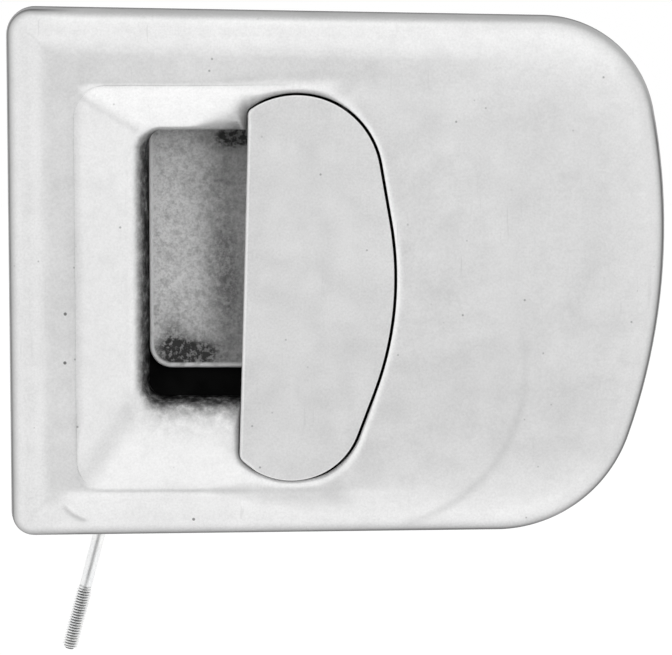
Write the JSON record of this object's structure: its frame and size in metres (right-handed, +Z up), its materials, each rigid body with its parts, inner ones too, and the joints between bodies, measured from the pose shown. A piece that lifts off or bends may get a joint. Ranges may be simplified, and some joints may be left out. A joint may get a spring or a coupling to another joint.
{
  "type": "flush exterior door handle",
  "caption": "Flush door handle: D-shaped painted plate, dished finger recess and hinged half-moon pull paddle that pushes a threaded link rod down through a bell crank.",
  "frame": {"origin": "on the door skin, the plane of the gasket's back face, at the middle of the plate", "axes": "+X to the right and +Z up as seen from outside the door, +Y into the door, so the front faces -Y"},
  "size_m": [0.1595, 0.0468, 0.1654],
  "materials": {
    "plate_paint": "satin light-grey paint over a zinc casting",
    "paddle_paint": "satin light-grey paint over a zinc casting",
    "floor_paint": "dry, patchy grey overspray on pressed steel",
    "gasket_rubber": "matt black rubber sheet",
    "stop_rubber": "matt black rubber",
    "black_moulding": "fine-grained black moulding",
    "zinc_steel": "bright zinc plate on steel",
    "spring_steel": "oiled spring steel",
    "nylon": "natural nylon",
    "clip_plastic": "white acetal"
  },
  "bodies": {
    "handle_frame": {"outer_plate": "plate_paint", "gasket": "gasket_rubber", "recess_bowl": "black_moulding", "recess_floor_plate": "floor_paint", "floor_plate_screws": "zinc_steel", "bowl_screws": "zinc_steel", "paddle_bushes": "nylon", "paddle_stop_pads": "stop_rubber", "crank_pivot": "zinc_steel", "crank_washer": "zinc_steel", "crank_circlip": "spring_steel", "crank_spring": "spring_steel"},
    "paddle": {"pull_paddle": "paddle_paint", "paddle_pins": "spring_steel", "drive_arm": "zinc_steel", "drive_arm_screws": "zinc_steel"},
    "crank": {"bell_crank": "zinc_steel", "crank_bush": "nylon", "crank_shoe": "nylon", "shoe_rivet": "zinc_steel"},
    "rod": {"link_rod": "zinc_steel", "rod_clip": "clip_plastic"}
  },
  "joints": [
    {"name": "paddle_hinge", "type": "hinge", "parent": "handle_frame", "child": "paddle", "pos_m": [0.0022, -0.0079, 0], "axis": [0, 0, 1], "range_deg": [0, 18], "stiffness_Nm_per_rad": 0.8, "springref_deg": -17.19},
    {"name": "crank_turn", "type": "hinge", "parent": "handle_frame", "child": "crank", "pos_m": [-0.0013, 0.02545, -0.013], "axis": [0, -1, 0], "range_deg": [0, 18], "deforming": ["crank_spring"]},
    {"name": "rod_swivel", "type": "hinge", "parent": "crank", "child": "rod", "pos_m": [-0.0456, 0.028, -0.011], "axis": [0, -1, 0], "range_deg": [-18, 0]}
  ],
  "couplings": [
    {"joint": "crank_turn", "follows": "paddle_hinge", "ratio": 1},
    {"joint": "rod_swivel", "follows": "paddle_hinge", "ratio": -1}
  ]
}
